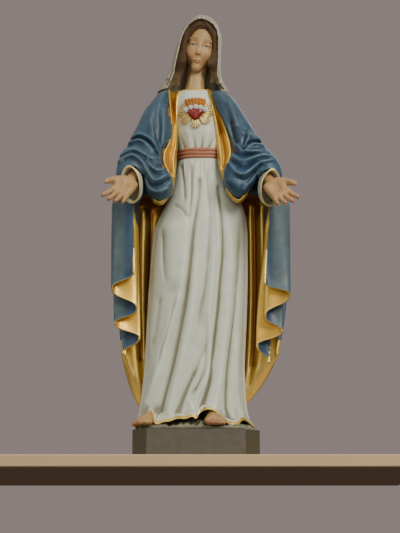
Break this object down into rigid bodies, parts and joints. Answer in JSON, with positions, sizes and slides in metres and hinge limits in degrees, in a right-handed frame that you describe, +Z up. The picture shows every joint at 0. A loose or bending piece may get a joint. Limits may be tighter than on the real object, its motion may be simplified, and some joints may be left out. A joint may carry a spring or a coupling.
{
  "type": "madonna statue",
  "caption": "Standing robed madonna in carved, painted and gilded wood, with open hands, veil, mantle and heart emblem, on a chamfered plinth.",
  "frame": {"origin": "centre of the felt face that the plinth rests on", "axes": "+Z up, the figure faces -Y, and its left hand is on the +X side"},
  "size_m": [0.3534, 0.2551, 0.85],
  "materials": {
    "felt": "matt green felt, glued under the plinth",
    "plinth_paint": "satin grey-brown paint on wood",
    "ground_paint": "matt grey-green paint on chiselled wood",
    "gown_paint": "satin ivory oil paint on gessoed wood, with a warm glaze in the folds",
    "sash_paint": "satin terracotta oil paint on gessoed wood",
    "mantle_paint": "satin steel-blue oil paint on gessoed wood, paler on the ridges",
    "veil_paint": "satin ivory-beige oil paint on gessoed wood",
    "skin_paint": "satin warm flesh-tone oil paint on gessoed wood",
    "hair_paint": "satin dark brown oil paint on carved wood",
    "gold_leaf": "burnished gold leaf over red bole",
    "heart_paint": "glossy red glaze on wood",
    "rose_paint": "satin white paint on carved wood",
    "flame_paint": "orange glaze over gold on carved wood",
    "dowel_wood": "bare turned beech",
    "screw_steel": "plain steel"
  },
  "bodies": {
    "root": {"base_felt": "felt", "plinth": "plinth_paint", "carved_ground": "ground_paint", "plinth_screw_1": "screw_steel", "plinth_screw_2": "screw_steel", "plinth_screw_3": "screw_steel", "plinth_screw_4": "screw_steel", "gown_skirt": "gown_paint", "gown_bodice": "gown_paint", "sash": "sash_paint", "waist_dowel": "dowel_wood", "right_foot": "skin_paint", "left_foot": "skin_paint", "mantle_back": "mantle_paint", "mantle_right_sleeve": "mantle_paint", "mantle_left_sleeve": "mantle_paint", "mantle_right_fall": "mantle_paint", "mantle_left_fall": "mantle_paint", "mantle_dowel_upper": "dowel_wood", "mantle_dowel_lower": "dowel_wood", "right_shoulder_dowel": "dowel_wood", "left_shoulder_dowel": "dowel_wood", "right_lapel": "gold_leaf", "left_lapel": "gold_leaf", "right_cuff": "gown_paint", "left_cuff": "gown_paint", "right_hand": "skin_paint", "left_hand": "skin_paint", "right_hand_dowel": "dowel_wood", "left_hand_dowel": "dowel_wood", "head": "skin_paint", "neck_dowel": "dowel_wood", "right_hair": "hair_paint", "left_hair": "hair_paint", "veil": "veil_paint", "glory_rays": "gold_leaf", "heart": "heart_paint", "wreath_rose_1": "rose_paint", "wreath_rose_2": "rose_paint", "wreath_rose_3": "rose_paint", "wreath_rose_4": "rose_paint", "wreath_rose_5": "rose_paint", "flames": "flame_paint", "emblem_pin": "screw_steel"}
  },
  "joints": []
}
